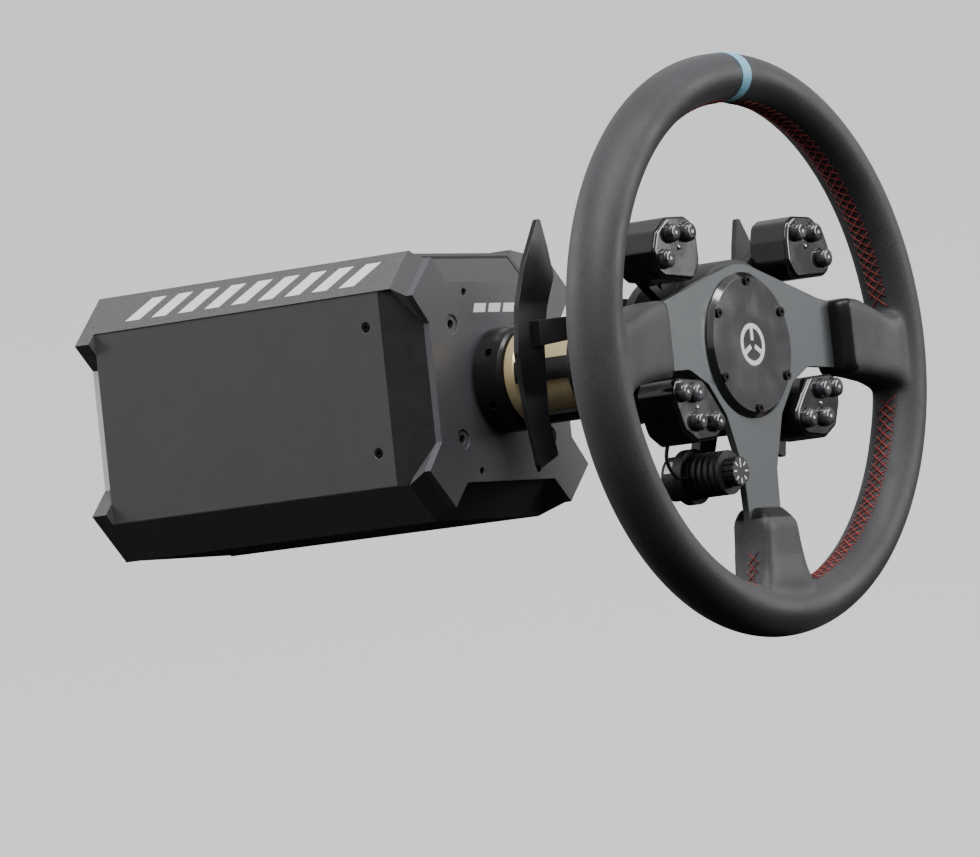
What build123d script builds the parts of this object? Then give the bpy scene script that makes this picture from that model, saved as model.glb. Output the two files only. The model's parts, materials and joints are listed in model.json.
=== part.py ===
from build123d import *
import math
import os

# A direct-drive racing wheel: motor base, quick release and steering wheel. Millimetres.
# The origin is the centre of the base's bottom mounting face, +Z is up and the driver sits
# towards -Y. "Forward" is a distance from the base's front face towards the driver, so the
# base lies between forward -239 and 0, and the rim is in front of it.

os.makedirs("parts", exist_ok=True)

# ---------------------------------------------------------------- driving dimensions
base_length = 239.0
half_width = 75.8            # shaft axis to the lip of a corner wing
shaft_height = 75.5          # mounting face to shaft axis, and shaft axis to the wing tops
lip_height = 48.6            # how far above and below the axis a lip stands
core_half = 61.5             # half the housing's width and height
core_corner = 34.1           # where the housing's flats meet its 45 degree corners
rim_radius = 160.0           # outside of the grip
rim_forward = 168.5          # plane of the rim
grip_radial = 13.3           # half the grip's thickness across the rim
grip_axial = 16.1            # half the grip's thickness along the shaft
shaft_radius = 12.5
running_gap = 0.05           # radial clearance of a running fit
button_travel = 1.5

# ---------------------------------------------------------------- derived places
front_face_y = -base_length / 2
corner_sum = half_width + lip_height          # |x| + |z| on the 45 degree corner faces
flat_half = corner_sum - shaft_height         # half the width of the wings' top flats
front_plate_back = -4.0
cowl_back = -19.3
cheek_back = -28.0
shell_back = -229.0                           # rear end of panels and housing
base_back = -base_length
panel_face = 69.6                             # outer face of a side panel
panel_thickness = 3.0
panel_seat = panel_face - panel_thickness
panel_half_height = 54.2
top_face = 73.9                               # outer face of the top panel
top_seat = top_face - panel_thickness
rail_inner = 46.6                             # inner edge of a rail's top flat
grip_middle = rim_radius - grip_radial        # radius of the grip's centre line
plate_back = 162.0
plate_front = 166.0
pod_back = 146.0
pod_front = 170.0
arm_back = 140.0

shaft_line = Axis((0, front_face_y, shaft_height), (0, -1, 0))
# Sketches for turned pieces: local x is the radius, local y is forward.
turning = Plane(origin=(0, front_face_y, shaft_height), x_dir=(1, 0, 0), z_dir=(0, 0, -1))
# Sketches seen from above: local x is x, local y is forward, at the height of the shaft.
middle_height = Plane.XY.offset(shaft_height)


def across(forward):
    """The plane square to the shaft at this distance, facing the driver; x right, y up."""
    return Plane(origin=(0, front_face_y - forward, shaft_height), x_dir=(1, 0, 0), z_dir=(0, -1, 0))


def outward(angle, forward):
    """A plane on the shaft axis whose normal points radially outward at this angle."""
    turn = math.radians(angle)
    return Plane(origin=(0, front_face_y - forward, shaft_height), x_dir=(0, -1, 0),
                 z_dir=(math.cos(turn), 0, math.sin(turn)))


def four_way(points):
    """A closed outline with the same corner at all four quadrants."""
    upper_right = list(points)
    upper_left = [(-x, z) for x, z in reversed(points)]
    lower_left = [(-x, -z) for x, z in points]
    lower_right = [(x, -z) for x, z in reversed(points)]
    return upper_right + upper_left + lower_left + lower_right


def flipped(points):
    """The same outline on the other side of the wheel."""
    return [(-x, z) for x, z in points]


def ring_between(inner, outer, start, end):
    """A rectangle on the turning plane, which a revolve makes into a ring."""
    with Locations(((inner + outer) / 2, (start + end) / 2)):
        Rectangle(outer - inner, end - start)


def save(piece, name):
    """Label a finished piece and write its STEP file."""
    piece.part.label = name
    export_step(piece.part, f"parts/{name}.step")


# ================================================================ base: outer shell
core_outline = four_way([(core_half, core_corner), (core_corner, core_half)])
octagon = four_way([(half_width, lip_height), (flat_half, shaft_height)])
front_outline = four_way([(62.3, 33.0), (half_width, lip_height),
                          (55.0, corner_sum - 55.0), (41.7, 56.0)])

flange_pattern_x = 83.2      # ringed M6 holes of the front plate
flange_pattern_z = 64.0
flange_hole = 2.75
small_hole = 2.2
neck_hole = 20.0             # the shaft's opening in the front plate

with BuildPart() as front_plate:
    with BuildSketch(across(front_plate_back)):
        Polygon(*front_outline)
        Circle(neck_hole, mode=Mode.SUBTRACT)
    extrude(amount=-front_plate_back)
    with Locations(across(0)):
        with GridLocations(flange_pattern_x, flange_pattern_z, 2, 2):
            CounterBoreHole(radius=flange_hole, counter_bore_radius=5.6, counter_bore_depth=0.8)
        with GridLocations(54.0, 100.0, 2, 2):
            Hole(radius=small_hole)
save(front_plate, "front_plate")

# The space that the side notches take out of the front: its floor slopes out to the panels.
wall_slope = (lip_height - 33.0) / (half_width - 62.3)
notch_inner = 58.0
notch_outer = 92.0


def side_trapezoid(height_at_inner):
    outer_height = height_at_inner + wall_slope * (notch_outer - notch_inner)
    return [(notch_inner, -height_at_inner), (notch_outer, -outer_height),
            (notch_outer, outer_height), (notch_inner, height_at_inner)]


with BuildPart() as side_notch:
    with BuildSketch(across(front_plate_back)):
        Polygon(*side_trapezoid(33.0 - wall_slope * (62.3 - notch_inner)))
    with BuildSketch(across(cheek_back)):
        Polygon(*side_trapezoid(61.6 - wall_slope * (panel_face - notch_inner)))
    loft(ruled=True)


def flat_trapezoid(half, floor, up):
    """A notch section that opens at 45 degrees, upward (up = 1) or downward (up = -1)."""
    return [(-half, up * floor), (half, up * floor), (half + 30, up * (floor + 30)),
            (-half - 30, up * (floor + 30))]


with BuildPart() as top_notch:
    with BuildSketch(across(front_plate_back)):
        Polygon(*flat_trapezoid(41.7, 56.0, 1))
    with BuildSketch(across(cowl_back)):
        Polygon(*flat_trapezoid(corner_sum - top_face - 3.2, top_face, 1))
    loft(ruled=True)

with BuildPart() as bottom_notch:
    with BuildSketch(across(front_plate_back)):
        Polygon(*flat_trapezoid(41.7, 56.0, -1))
    with BuildSketch(across(cowl_back)):
        Polygon(*flat_trapezoid(flat_half, shaft_height, -1))
    loft(ruled=True)

with BuildPart() as front_cowl:
    with BuildSketch(across(cowl_back)):
        Polygon(*octagon)
        Circle(neck_hole, mode=Mode.SUBTRACT)
    extrude(amount=front_plate_back - cowl_back)
    add(side_notch.part, mode=Mode.SUBTRACT)
    mirror(side_notch.part, about=Plane.YZ, mode=Mode.SUBTRACT)
    add(top_notch.part, mode=Mode.SUBTRACT)
    add(bottom_notch.part, mode=Mode.SUBTRACT)
    with Locations(across(front_plate_back)):
        with GridLocations(flange_pattern_x, flange_pattern_z, 2, 2):
            Hole(radius=flange_hole, depth=12)
save(front_cowl, "front_cowl")

# Black cheeks in the side notches, from the front plate out to the side panels.
cheek_section = [(notch_inner, -front_plate_back), (62.3, -front_plate_back),
                 (panel_face, -cheek_back), (panel_seat, -cheek_back),
                 (panel_seat, -cowl_back), (notch_inner, -cowl_back)]

with BuildPart() as side_cheeks:
    with BuildSketch(middle_height):
        Polygon(*[(x, front_face_y + back) for x, back in cheek_section])
    extrude(amount=panel_half_height, both=True)
    add(side_notch.part, mode=Mode.INTERSECT)
    mirror(about=Plane.YZ)
save(side_cheeks, "side_cheeks")

# Corner rails: trimmed to the panels along their length, full section behind them.
rail_section = [(core_half, core_corner), (panel_seat, core_corner + panel_seat - core_half),
                (panel_seat, panel_half_height), (corner_sum - panel_half_height, panel_half_height),
                (flat_half, shaft_height), (rail_inner, shaft_height), (rail_inner, top_seat),
                (core_corner + top_seat - core_half, top_seat), (core_corner, core_half)]
wing_section = [(core_half, core_corner), (half_width, lip_height),
                (flat_half, shaft_height), (core_corner, core_half)]
screw_forward = -38.4        # side panel screws
screw_height = 35.0
screw_shank = 1.5

with BuildPart() as corner_rails:
    with BuildSketch(across(shell_back)):
        Polygon(*rail_section)
    extrude(amount=cowl_back - shell_back)
    with BuildSketch(across(base_back)):
        Polygon(*wing_section)
    extrude(amount=shell_back - base_back)
    with Locations(Plane(origin=(panel_seat, front_face_y - screw_forward, shaft_height + screw_height),
                         x_dir=(0, 1, 0), z_dir=(1, 0, 0))):
        Hole(radius=1.4, depth=10)
    mirror(about=Plane.YZ)
    mirror(about=middle_height)
save(corner_rails, "corner_rails")

# Side panels, each held by two countersunk screws near the front.

for side, side_name in ((-1, "left"), (1, "right")):
    with BuildPart() as side_panel:
        with BuildSketch(middle_height):
            with Locations((side * (panel_seat + panel_thickness / 2),
                            front_face_y - (shell_back + cheek_back) / 2)):
                Rectangle(panel_thickness, cheek_back - shell_back)
        extrude(amount=panel_half_height - 0.2, both=True)
        outer = Plane(origin=(side * panel_face, front_face_y - screw_forward, shaft_height),
                      x_dir=(0, 1, 0), z_dir=(side, 0, 0))
        with Locations(outer):
            with GridLocations(1, 2 * screw_height, 1, 2):
                CounterSinkHole(radius=screw_shank, counter_sink_radius=3.1)
    save(side_panel, f"side_panel_{side_name}")

with BuildPart() as panel_screws:
    for side in (-1, 1):
        for height in (-screw_height, screw_height):
            head = Plane(origin=(side * (panel_face - 0.3), front_face_y - screw_forward,
                                 shaft_height + height), x_dir=(0, 1, 0), z_dir=(side, 0, 0))
            with Locations(head):
                Cone(1.3, 2.7, 1.4, align=(Align.CENTER, Align.CENTER, Align.MAX))
                Cylinder(1.3, 12, align=(Align.CENTER, Align.CENTER, Align.MAX))
            with BuildSketch(head.offset(-1)):
                RegularPolygon(1.15, 6)
            extrude(amount=1, mode=Mode.SUBTRACT)
save(panel_screws, "panel_screws")

# Top panel with cooling slots.
with BuildPart() as top_panel:
    with BuildSketch(Plane.XY.offset(shaft_height + top_seat)):
        with Locations((0, front_face_y - (shell_back + cowl_back) / 2)):
            Rectangle(2 * (rail_inner - 0.2), cowl_back - shell_back)
        with Locations((0, front_face_y + 165)):
            with GridLocations(9, 0, 8, 1):
                SlotOverall(70, 3, rotation=90, mode=Mode.SUBTRACT)
    extrude(amount=panel_thickness)
save(top_panel, "top_panel")

# Bottom plate: the mounting face, with four tapped holes.
mount_spacing_x = 66.0
mount_spacing_y = 110.0
mount_hole = 2.5             # tapping hole of an M6 thread
bottom_section = [(rail_inner, -shaft_height), (rail_inner, -top_seat),
                  (core_corner + top_seat - core_half, -top_seat), (core_corner, -core_half)]

with BuildPart() as bottom_plate:
    with BuildSketch(across(shell_back)):
        Polygon(*bottom_section, *reversed(flipped(bottom_section)))
    extrude(amount=cowl_back - shell_back)
    with Locations(Plane(origin=(0, 0, 0), x_dir=(1, 0, 0), z_dir=(0, 0, -1))):
        with GridLocations(mount_spacing_x, mount_spacing_y, 2, 2):
            Hole(radius=mount_hole, depth=10)
save(bottom_plate, "bottom_plate")

# ================================================================ base: motor
stator_outer = 51.9
housing_bore = 52.0
front_bearing_radius = 26.0
front_bearing_back = -40.0
front_bearing_width = 15.0
rear_bearing_radius = 21.0
rear_shaft_radius = 10.0
rear_bearing_back = -226.0
rear_bearing_width = 12.0
board_width = 72.0
board_back = -195.0
board_front = -65.0
board_seat = core_half + 3.0

with BuildPart() as motor_housing:
    with BuildSketch(across(shell_back)):
        Polygon(*core_outline)
    extrude(amount=cowl_back - shell_back)
    with BuildSketch(across(shell_back)):
        Circle(housing_bore)
    extrude(amount=front_bearing_back - shell_back, mode=Mode.SUBTRACT)
    with BuildSketch(across(front_bearing_back)):
        Circle(front_bearing_radius)
    extrude(amount=front_bearing_width, mode=Mode.SUBTRACT)
    with BuildSketch(across(front_bearing_back)):
        Circle(15.0)
    extrude(amount=cowl_back - front_bearing_back, mode=Mode.SUBTRACT)
    # Posts for the control board.
    with BuildSketch(Plane.XY.offset(shaft_height + core_half)):
        with Locations((0, front_face_y - (board_back + board_front) / 2)):
            with GridLocations(board_width - 14, board_front - board_back - 10, 2, 2):
                Circle(2.5)
    extrude(amount=board_seat - core_half)
    # Threads for the side panels' screws.
    for side in (-1, 1):
        wall = Plane(origin=(side * core_half, front_face_y - screw_forward, shaft_height),
                     x_dir=(0, 1, 0), z_dir=(side, 0, 0))
        with Locations(wall):
            with GridLocations(1, 2 * screw_height, 1, 2):
                Hole(radius=1.3, depth=6)
save(motor_housing, "motor_housing")

socket_height = 44.0
socket_pitch = 16.0
socket_places = [(-socket_pitch, socket_height), (0, socket_height), (socket_pitch, socket_height)]
socket_width = 12.0
socket_tall = 10.0
inlet_place = (-34.0, -36.0)
inlet_radius = 8.0
button_place = (34.0, -36.0)
power_radius = 6.0
encoder_seat = -203.6

with BuildPart() as rear_plate:
    with BuildSketch(across(base_back)):
        Polygon(*core_outline)
    extrude(amount=shell_back - base_back)
    with BuildSketch(across(shell_back)):
        Circle(29)
    extrude(amount=rear_bearing_back + rear_bearing_width - shell_back)
    with BuildSketch(across(rear_bearing_back)):
        Circle(rear_bearing_radius)
    extrude(amount=rear_bearing_width, mode=Mode.SUBTRACT)
    with BuildSketch(across(rear_bearing_back - 4)):
        Circle(rear_shaft_radius + 2)
    extrude(amount=4, mode=Mode.SUBTRACT)
    # Standoffs of the encoder board.
    with BuildSketch(across(shell_back)):
        with PolarLocations(40, 3, start_angle=90):
            Circle(3)
    extrude(amount=encoder_seat - shell_back)
    # Pockets for the sockets, the power inlet and the power button.
    with BuildSketch(across(base_back)):
        with Locations(*socket_places):
            Rectangle(socket_width, socket_tall)
        with Locations(inlet_place):
            Circle(inlet_radius)
    extrude(amount=8, mode=Mode.SUBTRACT)
    with BuildSketch(across(base_back)):
        with Locations(button_place):
            Circle(power_radius)
    extrude(amount=shell_back - base_back, mode=Mode.SUBTRACT)
save(rear_plate, "rear_plate")

with BuildPart() as rear_sockets:
    with BuildSketch(across(base_back)):
        with Locations(*socket_places):
            Rectangle(socket_width, socket_tall)
            Rectangle(socket_width - 3.5, socket_tall - 3.5, mode=Mode.SUBTRACT)
        with Locations(inlet_place):
            Circle(inlet_radius)
            Circle(5.5, mode=Mode.SUBTRACT)
    extrude(amount=7)
    with BuildSketch(across(base_back + 7)):
        with Locations(*socket_places):
            Rectangle(socket_width, socket_tall)
        with Locations(inlet_place):
            Circle(inlet_radius)
    extrude(amount=1)
save(rear_sockets, "rear_sockets")

with BuildPart() as power_button:
    with BuildSketch(across(base_back - 2)):
        with Locations(button_place):
            Circle(power_radius - 0.3)
    extrude(amount=9)
    fillet(power_button.edges().group_by(Axis.Y)[-1], radius=0.8)
save(power_button, "power_button")

stator_back = -190.0
stator_front = -70.0
slots = 12
stator_bore = 34.0

with BuildPart() as stator_core:
    with BuildSketch(across(stator_back)):
        Circle(stator_outer)
        Circle(stator_bore, mode=Mode.SUBTRACT)
        with PolarLocations(41.5, slots):
            Rectangle(11, 10, mode=Mode.SUBTRACT)
        with PolarLocations(35, slots):
            Rectangle(4, 3, mode=Mode.SUBTRACT)
    extrude(amount=stator_front - stator_back)
save(stator_core, "stator_core")

with BuildPart() as stator_windings:
    with BuildSketch(across(stator_back - 8)):
        with PolarLocations(41.5, slots):
            Rectangle(10.4, 9.4)
    extrude(amount=stator_front - stator_back + 16)
    for start in (stator_back - 8, stator_front + 0.3):
        with BuildSketch(across(start)):
            Circle(46.5)
            Circle(36.5, mode=Mode.SUBTRACT)
        extrude(amount=7.7)
save(stator_windings, "stator_windings")

# ---- bearings: an outer ring, an inner ring and the balls between them
def bearing(inner, outer, start, width, balls):
    middle = (inner + outer) / 2
    wall = (outer - inner) * 0.3
    ball = (outer - inner) * 0.2
    with BuildPart() as made:
        with BuildSketch(turning):
            ring_between(inner, inner + wall, start, start + width)
            ring_between(outer - wall, outer, start, start + width)
        revolve(axis=shaft_line)
        with Locations(across(start + width / 2)):
            with PolarLocations(middle, balls):
                Sphere(ball - 0.01)
    return made


front_bearing = bearing(shaft_radius + running_gap, front_bearing_radius,
                        front_bearing_back, front_bearing_width, 9)
save(front_bearing, "front_bearing")
rear_bearing = bearing(rear_shaft_radius + running_gap, rear_bearing_radius,
                       rear_bearing_back, rear_bearing_width, 9)
save(rear_bearing, "rear_bearing")

with BuildPart() as encoder_board:
    with BuildSketch(across(encoder_seat)):
        Circle(46)
        Circle(18, mode=Mode.SUBTRACT)
    extrude(amount=1.6)
    with BuildSketch(across(encoder_seat - 1.5)):
        with Locations((0, 22)):
            Rectangle(9, 6)
    extrude(amount=1.5)
save(encoder_board, "encoder_board")

with BuildPart() as control_board:
    board_middle = front_face_y - (board_back + board_front) / 2
    with BuildSketch(Plane.XY.offset(shaft_height + board_seat)):
        with Locations((0, board_middle)):
            Rectangle(board_width, board_front - board_back)
    extrude(amount=1.6)
    chips_floor = Plane.XY.offset(shaft_height + board_seat + 1.6)
    with BuildSketch(chips_floor):
        with Locations((-18, board_middle - 30), (16, board_middle - 20)):
            Rectangle(16, 16)
        with Locations((0, board_middle + 45)):
            Rectangle(50, 12)
    extrude(amount=2)
    with BuildSketch(chips_floor):
        with Locations((0, board_middle + 15)):
            with GridLocations(14, 14, 4, 2):
                Circle(4)
    extrude(amount=4)
save(control_board, "control_board")

# ================================================================ spinning body: motor side
rotor_radius = 28.0
magnet_radius = 32.4
nose_radius = 9.0
clamp_front = 20.0

with BuildPart() as main_shaft:
    with BuildSketch(turning):
        Polygon((0, -227), (rear_shaft_radius, -227), (rear_shaft_radius, -213), (12, -213),
                (12, -198), (14, -198), (14, front_bearing_back - 1),
                (shaft_radius, front_bearing_back - 1), (shaft_radius, clamp_front),
                (nose_radius, clamp_front), (nose_radius, 50), (0, 50))
    revolve(axis=shaft_line)
save(main_shaft, "main_shaft")

with BuildPart() as rotor_core:
    with BuildSketch(across(stator_back)):
        Circle(rotor_radius)
        Circle(14, mode=Mode.SUBTRACT)
        with PolarLocations(21, 6):
            Circle(3.5, mode=Mode.SUBTRACT)
    extrude(amount=stator_front - stator_back)
save(rotor_core, "rotor_core")

with BuildPart() as rotor_magnets:
    with BuildSketch(across(stator_back + 2)):
        Circle(magnet_radius)
        Circle(rotor_radius, mode=Mode.SUBTRACT)
        with PolarLocations((rotor_radius + magnet_radius) / 2, 10):
            Rectangle(8, 2.4, mode=Mode.SUBTRACT)
    extrude(amount=stator_front - stator_back - 4)
save(rotor_magnets, "rotor_magnets")

with BuildPart() as encoder_disc:
    with BuildSketch(across(-208)):
        Circle(27)
        Circle(12, mode=Mode.SUBTRACT)
    extrude(amount=2)
save(encoder_disc, "encoder_disc")

# Clamp hub on the shaft, with radial set screws.
clamp_radius = 29.5
set_screws = 6
set_screw_start = 30.0

with BuildPart() as clamp_hub:
    with BuildSketch(turning):
        Polygon((shaft_radius, 1), (clamp_radius - 1, 1), (clamp_radius, 2), (clamp_radius, 18.5),
                (clamp_radius - 1.5, clamp_front), (shaft_radius, clamp_front))
    revolve(axis=shaft_line)
    for number in range(set_screws):
        with BuildSketch(outward(set_screw_start + 360 / set_screws * number, 11).offset(18)):
            Circle(2.5)
        extrude(amount=14, mode=Mode.SUBTRACT)
save(clamp_hub, "clamp_hub")

with BuildPart() as clamp_screws:
    for number in range(set_screws):
        screw = outward(set_screw_start + 360 / set_screws * number, 11)
        with BuildSketch(screw.offset(18)):
            Circle(2.5)
        extrude(amount=10.4)
        with BuildSketch(screw.offset(26)):
            RegularPolygon(1.3, 6)
        extrude(amount=3, mode=Mode.SUBTRACT)
save(clamp_screws, "clamp_screws")

# Gold quick-release cone with five keyways, and the keys in them.
keys = 5
key_width = 12.0
cone_front = 66.0
key_back = 29.0
first_key = 177.5

with BuildPart() as quick_release_cone:
    with BuildSketch(turning):
        Polygon((nose_radius, clamp_front), (25.5, clamp_front), (27, 21.5), (27, 27),
                (26, 28.5), (26, cone_front - 2), (24.5, cone_front), (nose_radius, cone_front))
    revolve(axis=shaft_line)
    with BuildSketch(across(key_back)):
        with PolarLocations(25.5, keys, start_angle=first_key):
            Rectangle(9, key_width, mode=Mode.ADD)
    extrude(amount=cone_front - key_back, mode=Mode.SUBTRACT)
save(quick_release_cone, "quick_release_cone")

with BuildPart() as quick_release_keys:
    with BuildSketch(across(key_back)):
        Circle(28.2)
        Circle(21, mode=Mode.SUBTRACT)
        with PolarLocations(25.5, keys, start_angle=first_key):
            Rectangle(9, key_width - 0.1, mode=Mode.INTERSECT)
    extrude(amount=cone_front - key_back)
save(quick_release_keys, "quick_release_keys")

# ================================================================ spinning body: wheel side
hub_back = 110.0
hub_radius = 47.5
socket_radius = 30.0
collar_back = 71.0
collar_front = 88.0
collar_travel = 8.0
flange_back = 111.5

with BuildPart() as quick_release_socket:
    with BuildSketch(turning):
        Polygon((0, cone_front), (socket_radius, cone_front), (socket_radius, hub_back), (0, hub_back))
    revolve(axis=shaft_line)
save(quick_release_socket, "quick_release_socket")

with BuildPart() as lock_collar:
    with BuildSketch(turning):
        ring_between(socket_radius + 0.3, 35, collar_back, collar_front)
    revolve(axis=shaft_line)
    with BuildSketch(across(collar_back)):
        with PolarLocations(35, 24):
            Circle(1.2)
    extrude(amount=collar_front - collar_back, mode=Mode.SUBTRACT)
save(lock_collar, "lock_collar")

# Outlines seen by the driver, for the right-hand side.
upper_pod = [(43, 45), (43, 58), (46, 67), (53, 70.5), (71, 70), (82, 62), (86, 52), (83.5, 40),
             (78, 37), (50, 35.5)]
lower_pod = [(52, -18.5), (76, -17), (81, -24), (79.5, -34), (74.5, -46), (63, -52.5), (44, -51),
             (35.5, -44), (36, -37), (44, -27)]
upper_buttons = [(54, 61.5), (69.5, 61), (77, 47)]
lower_buttons = [(62.5, -25.5), (74, -25), (45.5, -41.5), (62.5, -41)]
upper_arm = [(20, 36), (38, 20), (70, 42), (58, 60)]
lower_arm = [(38, -14), (28, -34), (50, -47), (66, -28)]
module_place = (-33.0, -69.0)
module_radius = 12.2
module_back = 131.0
module_front = 168.0
grooves = 5
module_arm = [(-20, -36), (-6, -42), (-22, -78), (-36, -78)]

with BuildPart() as hub_housing:
    with BuildSketch(turning):
        Polygon((0, hub_back), (socket_radius, hub_back), (socket_radius, flange_back),
                (44, flange_back), (44, 117), (33, 119), (36, 128), (hub_radius, 137),
                (hub_radius, plate_back), (0, plate_back))
    revolve(axis=shaft_line)
    with BuildSketch(across(arm_back)):
        Polygon(*upper_arm)
        Polygon(*flipped(upper_arm))
        Polygon(*lower_arm)
        Polygon(*flipped(lower_arm))
        Polygon(*module_arm)
        with Locations(module_place):
            Circle(module_radius + 3)
    extrude(amount=pod_back - arm_back)
    # The small control module is clamped through its ring.
    with BuildSketch(across(arm_back)):
        with Locations(module_place):
            Circle(module_radius)
    extrude(amount=pod_back - arm_back, mode=Mode.SUBTRACT)
save(hub_housing, "hub_housing")

# Spoke plate: a round hub drawn out to two side spokes and one lower spoke.
hub_arc = 44.5
tangent_angle = 74.0
arc_end = (hub_arc * math.cos(math.radians(tangent_angle)),
           hub_arc * math.sin(math.radians(tangent_angle)))
spoke_end = grip_middle - 8.0
badge_screw_circle = 35.0
right_edge = [(75, 25), (95, 22), (spoke_end, 12), (spoke_end, -12), (95, -14), (58, -12.5),
              (41, -21), (27, -38), (16.5, -68), (15.5, -90), (15.5, -spoke_end)]

with BuildPart() as spoke_plate:
    with BuildSketch(across(plate_back)):
        with BuildLine():
            RadiusArc((-arc_end[0], arc_end[1]), arc_end, hub_arc)
            Polyline(arc_end, *right_edge)
            Line(right_edge[-1], (-right_edge[-1][0], right_edge[-1][1]))
            Polyline(*reversed(flipped(right_edge)), (-arc_end[0], arc_end[1]))
        make_face()
        with PolarLocations(badge_screw_circle, 6, start_angle=90):
            Circle(1.5, mode=Mode.SUBTRACT)
    extrude(amount=plate_front - plate_back)
    inner_corners = spoke_plate.edges().filter_by(Axis.Y)
    soft = [edge for edge in inner_corners
            if (abs(abs(edge.center().X) - 58) < 1 and edge.center().Z < shaft_height)
            or (abs(abs(edge.center().X) - 27) < 1 and edge.center().Z < shaft_height - 30)]
    fillet(soft, radius=9)
save(spoke_plate, "spoke_plate")

# Rim: a round core inside a leather grip of oval section.
core_radius = 6.0

with BuildPart() as rim_core:
    with BuildSketch(turning):
        with Locations((grip_middle, rim_forward)):
            Circle(core_radius)
    revolve(axis=shaft_line)
save(rim_core, "rim_core")

with BuildPart() as rim_grip:
    with BuildSketch(turning):
        with Locations((grip_middle, rim_forward)):
            Ellipse(grip_radial, grip_axial)
            Circle(core_radius, mode=Mode.SUBTRACT)
    revolve(axis=shaft_line)
    add(spoke_plate.part, mode=Mode.SUBTRACT)
save(rim_grip, "rim_grip")

# Leather-wrapped spoke ends, which run into the grip.
wrap_back = 153.0
wrap_front = 178.0
side_wrap = [(84, 19), (88, 23.5), (98, 24), (112, 19.5), (123, 14.5), (140, 13), (140, -33),
             (131, -27.5), (124, -23.5), (110, -20), (88, -17.5), (84, -13)]
lower_wrap_right = [(10, -89), (15, -96), (17, -108), (21, -124), (27, -140)]
lower_wrap = lower_wrap_right + flipped(reversed(lower_wrap_right))

with BuildPart() as grip_space:
    with BuildSketch(turning):
        with Locations((grip_middle, rim_forward)):
            Ellipse(grip_radial, grip_axial)
    revolve(axis=shaft_line)

with BuildPart() as spoke_wraps:
    with BuildSketch(across(wrap_back)):
        Polygon(*side_wrap)
        Polygon(*flipped(side_wrap))
        Polygon(*lower_wrap)
    extrude(amount=wrap_front - wrap_back)
    chamfer(spoke_wraps.faces().sort_by(Axis.Y)[0].edges(), length=2.5)
    add(grip_space.part, mode=Mode.SUBTRACT)
    add(spoke_plate.part, mode=Mode.SUBTRACT)
save(spoke_wraps, "spoke_wraps")

# Band that marks twelve o'clock.
stripe_width = 8.0
stripe_angle = math.degrees(stripe_width / grip_middle)
stripe_height = 0.4

with BuildPart() as centre_stripe:
    with BuildSketch(Plane(origin=(0, front_face_y, shaft_height), x_dir=(0, 0, 1), z_dir=(1, 0, 0))):
        with Locations((grip_middle, rim_forward)):
            Ellipse(grip_radial + stripe_height, grip_axial + stripe_height)
            Ellipse(grip_radial + 0.02, grip_axial + 0.02, mode=Mode.SUBTRACT)
    revolve(axis=shaft_line, revolution_arc=stripe_angle / 2)
    mirror(about=Plane.YZ)
save(centre_stripe, "centre_stripe")

badge_radius = 40.0
badge_front = 169.5
badge_bevel = 2.8

with BuildPart() as badge:
    with BuildSketch(turning):
        Polygon((0, plate_front), (badge_radius, plate_front), (badge_radius, 167),
                (badge_radius - badge_bevel, badge_front), (0, badge_front))
    revolve(axis=shaft_line)
    with BuildSketch(across(plate_front)):
        with PolarLocations(badge_screw_circle, 6, start_angle=90):
            Circle(1.5)
    extrude(amount=badge_front - plate_front, mode=Mode.SUBTRACT)
save(badge, "badge")

with BuildPart() as badge_screws:
    with BuildSketch(across(plate_back)):
        with PolarLocations(badge_screw_circle, 6, start_angle=90):
            Circle(1.5)
    extrude(amount=badge_front - plate_back)
    with BuildSketch(across(badge_front)):
        with PolarLocations(badge_screw_circle, 6, start_angle=90):
            Circle(2.6)
            RegularPolygon(1.2, 6, mode=Mode.SUBTRACT)
    extrude(amount=1.3)
save(badge_screws, "badge_screws")

# ================================================================ pods and their buttons
button_radius = 5.2
button_hole = button_radius + 0.3
button_floor = 160.0
button_front = 174.5
pod_corner = 6.0
pod_lip = 2.0


def pod(outline, buttons):
    with BuildPart() as made:
        with BuildSketch(across(pod_back)):
            Polygon(*outline)
        extrude(amount=pod_front - pod_back)
        fillet(made.edges().filter_by(Axis.Y), radius=pod_corner)
        fillet(made.faces().sort_by(Axis.Y)[0].edges(), radius=pod_lip)
        with BuildSketch(across(button_floor)):
            with Locations(*buttons):
                Circle(button_hole)
        extrude(amount=pod_front - button_floor, mode=Mode.SUBTRACT)
    return made


def push_button(place):
    with BuildPart() as made:
        with BuildSketch(across(button_floor + button_travel + 0.5)):
            with Locations(place):
                Circle(button_radius)
        extrude(amount=button_front - button_floor - button_travel - 0.5)
        fillet(made.faces().sort_by(Axis.Y)[0].edges(), radius=2.2)
    return made


pods = {
    "upper_right": (upper_pod, upper_buttons),
    "upper_left": (flipped(upper_pod), flipped(upper_buttons)),
    "lower_right": (lower_pod, lower_buttons),
    "lower_left": (flipped(lower_pod), flipped(lower_buttons)),
}
for pod_name, (outline, buttons) in pods.items():
    save(pod(outline, buttons), f"pod_{pod_name}")
    for number, place in enumerate(buttons, start=1):
        save(push_button(place), f"button_{pod_name}_{number}")

# ================================================================ rotary control module
knob_radius = 8.0

with BuildPart() as rotary_module:
    with BuildSketch(across(module_back)):
        with Locations(module_place):
            Circle(module_radius)
    extrude(amount=module_front - module_back)
    for groove in range(grooves):
        with BuildSketch(across(pod_back + 3 + 4 * groove)):
            with Locations(module_place):
                Circle(module_radius)
                Circle(module_radius - 0.9, mode=Mode.SUBTRACT)
        extrude(amount=1.8, mode=Mode.SUBTRACT)
    with BuildSketch(across(module_front)):
        with Locations(module_place):
            Circle(2.5)
    extrude(amount=4)
save(rotary_module, "rotary_module")

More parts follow.
